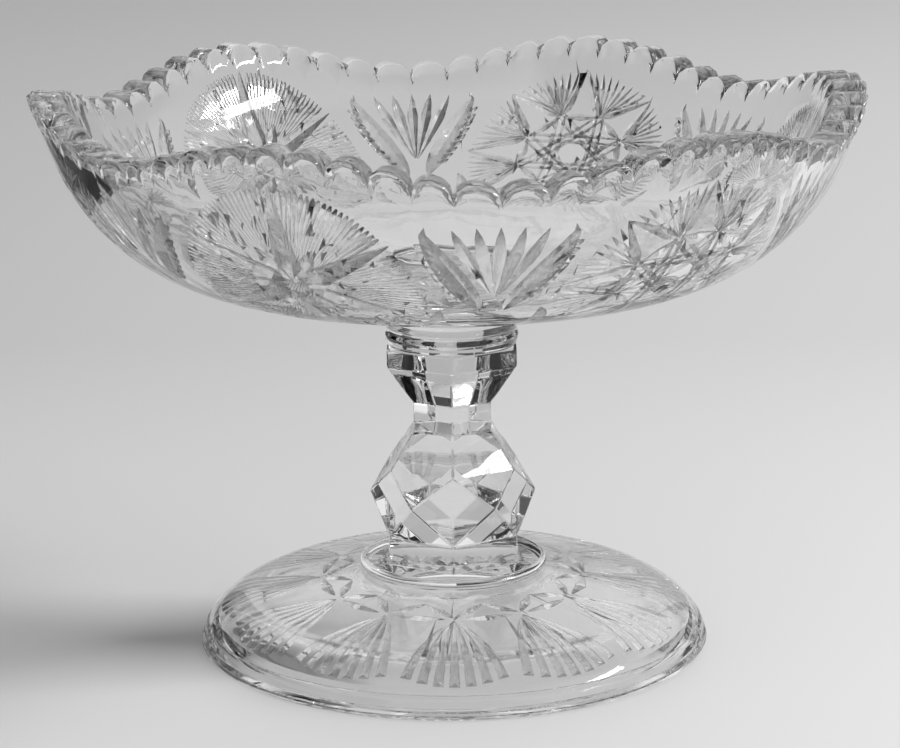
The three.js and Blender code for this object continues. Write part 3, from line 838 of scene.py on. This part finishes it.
def studio():
    """A wide floor of matt board, pale, with painted shade that darkens it a little towards the back, and a
    fine tooth that takes the shine off it."""
    material, output = new_material("matt_board_painted_shade")
    place = add_node(material, "ShaderNodeTexCoord").outputs["Object"]
    apart = add_node(material, "ShaderNodeSeparateXYZ", {}, {"Vector": place})
    grain = add_node(material, "ShaderNodeTexNoise", {"Scale": 900.0, "Detail": 2.0}, {"Vector": place})
    # Painted shade: the board's colour grows darker from the front towards the back, where the light falls off
    shade_to_back = add_node(
        material, "ShaderNodeMapRange", {"From Min": -0.05, "From Max": 0.35}, {"Value": apart.outputs["Y"]}
    )
    far = add_node(
        material, "ShaderNodeMapRange", {"From Min": 0.4, "From Max": 1.2}, {"Value": apart.outputs["Y"]}
    )
    tones = {"data_type": "RGBA", "A": linear("#e3e3e3"), "B": linear("#cccccc")}
    middle = add_node(material, "ShaderNodeMix", tones, {"Factor": shade_to_back.outputs["Result"]})
    tone = add_node(
        material,
        "ShaderNodeMix",
        {"data_type": "RGBA", "B": linear("#cfcfcf")},
        {"Factor": far.outputs["Result"], "A": middle.outputs["Result"]},
    )
    bump = add_node(
        material, "ShaderNodeBump", {"Strength": 0.05, "Distance": 0.0001}, {"Height": grain.outputs["Fac"]}
    )
    paint = add_node(
        material,
        "ShaderNodeBsdfPrincipled",
        {"Roughness": 0.5, "Specular IOR Level": 0.3},
        {"Base Color": tone.outputs["Result"], "Normal": bump.outputs["Normal"]},
    )
    material.node_tree.links.new(paint.outputs["BSDF"], output.inputs["Surface"])

    corners = FLOOR_HALF * np.array([[-1, -1, 0], [1, -1, 0], [1, 1, 0], [-1, 1, 0]])
    board = add_object("floor", mesh_from("floor", corners - [0, 0, FLOOR_GAP], [[0, 1, 2, 3]]))
    board.data.materials.append(material)


def softbox(name, place, target, size, power):
    """A rectangular area lamp that faces a point. Places and sizes are in metres, power in watts."""
    lamp = bpy.data.lights.new(name, "AREA")
    lamp.shape = "RECTANGLE"
    lamp.size, lamp.size_y = size
    lamp.energy = power
    holder = bpy.data.objects.new(name, lamp)
    bpy.context.scene.collection.objects.link(holder)
    backward = np.array(place, float) - np.array(target, float)
    backward /= np.linalg.norm(backward)
    right = np.cross([0, 0, 1], backward)
    right /= np.linalg.norm(right)
    up = np.cross(backward, right)
    turn = np.eye(4)
    turn[:3, 0], turn[:3, 1], turn[:3, 2], turn[:3, 3] = right, up, backward, place
    holder.matrix_world = turn.T.tolist()
    return holder


def dark_card(name, first, last, height):
    """A plain upright card of black felt from one floor point to another, in metres. It shows in the glass,
    and faintly in the floor's sheen, but it is out of the camera's sight and throws no shadow."""
    corners = [(*first, 0), (*last, 0), (*last, height), (*first, height)]
    card = add_object(name, mesh_from(name, np.array(corners) / MM, [[0, 1, 2, 3]]))
    material, output = new_material(name + "_felt")
    where = add_node(material, "ShaderNodeTexCoord").outputs["Object"]
    nap = add_node(material, "ShaderNodeTexNoise", {"Scale": 6.0}, {"Vector": where})
    tones = {"data_type": "RGBA", "A": linear("#242424"), "B": linear("#1a1a1a")}
    shade = add_node(material, "ShaderNodeMix", tones, {"Factor": nap.outputs["Fac"]})
    felt = add_node(
        material, "ShaderNodeBsdfPrincipled", {"Roughness": 1.0}, {"Base Color": shade.outputs["Result"]}
    )
    material.node_tree.links.new(felt.outputs["BSDF"], output.inputs["Surface"])
    card.data.materials.append(material)
    card.visible_camera = False
    card.visible_shadow = False
    card.visible_diffuse = False


def camera():
    """The photograph's camera: level along +Y, pitched down, then rolled about its own axis."""
    lens = bpy.data.cameras.new("camera")
    lens.sensor_fit = "HORIZONTAL"
    lens.sensor_width = SENSOR_WIDTH
    lens.lens = FOCAL_PIXELS * SENSOR_WIDTH / IMAGE_WIDTH
    lens.clip_start = 0.01
    holder = bpy.data.objects.new("camera", lens)
    bpy.context.scene.collection.objects.link(holder)
    tilt, roll = np.radians(90 - CAMERA_PITCH), np.radians(-CAMERA_ROLL)
    pitch = np.array([[1, 0, 0], [0, np.cos(tilt), -np.sin(tilt)], [0, np.sin(tilt), np.cos(tilt)]])
    spin = np.array([[np.cos(roll), -np.sin(roll), 0], [np.sin(roll), np.cos(roll), 0], [0, 0, 1]])
    turn = np.eye(4)
    turn[:3, :3] = pitch @ spin
    turn[:3, 3] = np.array(CAMERA_PLACE) * MM
    holder.matrix_world = turn.T.tolist()
    bpy.context.scene.camera = holder


def world():
    """Even light from all round, and a pale background. What is mirrored or seen through glass is a room with
    a grey lower wall, a pale upper wall, and a dark ceiling, near side and left side."""
    sky = bpy.data.worlds.new("studio_air")
    sky.use_nodes = True
    place = add_node(sky, "ShaderNodeTexCoord").outputs["Generated"]
    apart = add_node(sky, "ShaderNodeSeparateXYZ", {}, {"Vector": place})
    up, ahead, right = (apart.outputs[axis] for axis in ("Z", "Y", "X"))
    ceiling = add_node(sky, "ShaderNodeMapRange", {"From Min": 0.6, "From Max": 0.74}, {"Value": up})
    near_range = {"From Min": -0.66, "From Max": -0.8, "To Max": 0.55}
    near = add_node(sky, "ShaderNodeMapRange", near_range, {"Value": ahead})
    left = add_node(sky, "ShaderNodeMapRange", {"From Min": -0.36, "From Max": -0.5}, {"Value": right})
    above = add_node(sky, "ShaderNodeMath", {"operation": "MULTIPLY", 1: 0.45}, {0: ceiling.outputs[0]})
    dark = add_node(sky, "ShaderNodeMath", {"operation": "MAXIMUM"}, {0: above.outputs[0], 1: near.outputs[0]})
    dark = add_node(sky, "ShaderNodeMath", {"operation": "MAXIMUM"}, {0: dark.outputs[0], 1: left.outputs[0]})
    wall_top = add_node(sky, "ShaderNodeMapRange", {"From Min": 0.3, "From Max": 0.36}, {"Value": up})
    tones = {"data_type": "RGBA", "A": linear("#b6b6b6"), "B": linear("#fafafa")}
    pale = add_node(sky, "ShaderNodeMix", tones, {"Factor": wall_top.outputs[0]})
    tones = {"data_type": "RGBA", "B": linear("#1c1c1c")}
    room = add_node(sky, "ShaderNodeMix", tones, {"Factor": dark.outputs[0], "A": pale.outputs["Result"]})
    path = add_node(sky, "ShaderNodeLightPath")
    tones = {"data_type": "RGBA", "B": linear("#909090")}
    links = {"Factor": path.outputs["Is Diffuse Ray"], "A": room.outputs["Result"]}
    tone = add_node(sky, "ShaderNodeMix", tones, links)
    tones = {"data_type": "RGBA", "B": linear("#dcdcdc")}
    links = {"Factor": path.outputs["Is Camera Ray"], "A": tone.outputs["Result"]}
    seen = add_node(sky, "ShaderNodeMix", tones, links)
    background = sky.node_tree.nodes["Background"]
    sky.node_tree.links.new(seen.outputs["Result"], background.inputs["Color"])
    bpy.context.scene.world = sky


scene = bpy.context.scene
camera()
world()
studio()

# A small window, high at the right, that the glass mirrors, and a wide lamp there that only lights
softbox("window_right", (0.985, -0.138, 0.82), (0, 0, 0.12), (0.5, 0.11), 2.4)
soft = softbox("soft_right", (2.4, 0.06, 1.22), (0, 0, 0.1), (1.24, 0.6), 106)
soft.visible_glossy = False
soft.visible_transmission = False

# Cards beside and behind the compote, which darken the edges of the glass
dark_card("card_behind_left", (-0.2, 0.3), (-0.42, 1.2), 0.4)
dark_card("card_behind_right", (0.215, 0.3), (0.4, 0.8), 0.2)
dark_card("card_left", (-0.21, 0.3), (-0.36, -0.15), 0.3)

# One clear glass. The shade is what a lamp's light keeps at each face: least where facets throw it aside
PATTERNED_GLASS = pressed_glass("pressed_soda_lime_glass_cut_pattern", "#cecece")
FACETED_GLASS = pressed_glass("pressed_soda_lime_glass_facets", "#959595")
PLAIN_GLASS = pressed_glass("pressed_soda_lime_glass", "#fdfdfd")
FUSED = fused_joint()

bowl = make_bowl()
soften(bowl, SHARP_BOWL)
add_piece("bowl_glass", bowl, "bowl", [(BOWL_BASE, BOWL_JOINT)], PATTERNED_GLASS)

bowl_wafer = make_bowl_wafer()
soften(bowl_wafer, SHARP_WAFER)
joints = [(BOWL_BASE, BOWL_JOINT), (STEM_TOP, BOWL_JOINT)]
add_piece("bowl_wafer_glass", bowl_wafer, "bowl_wafer", joints, PLAIN_GLASS)

joints = [(STEM_TOP, PAD_RADIUS), (STEM_BASE, PAD_RADIUS)]
stem = add_piece("stem_glass", make_stem(), "stem", joints, FACETED_GLASS)
bevel = stem.modifiers.new("fire_polish", "BEVEL")
bevel.width = FACET_SOFTNESS * MM
bevel.segments = 3
bevel.limit_method = "ANGLE"
bevel.angle_limit = np.radians(FACET_ANGLE)

foot_wafer = make_foot_wafer()
soften(foot_wafer, SHARP_WAFER)
joints = [(FOOT_TOP, FOOT_JOINT), (STEM_BASE, FOOT_JOINT)]
add_piece("foot_wafer_glass", foot_wafer, "foot_wafer", joints, PLAIN_GLASS)

foot = make_foot()
soften(foot, SHARP_FOOT)
add_piece("foot_glass", foot, "foot", [(FOOT_TOP, FOOT_JOINT)], PLAIN_GLASS)

scene.view_settings.view_transform = "Standard"

# Clear glass shows what lies behind many faces, so the light's paths are long
scene.cycles.max_bounces = 24
scene.cycles.transmission_bounces = 24
scene.cycles.glossy_bounces = 8
scene.cycles.transparent_max_bounces = 32
scene.cycles.caustics_reflective = False
scene.cycles.caustics_refractive = False
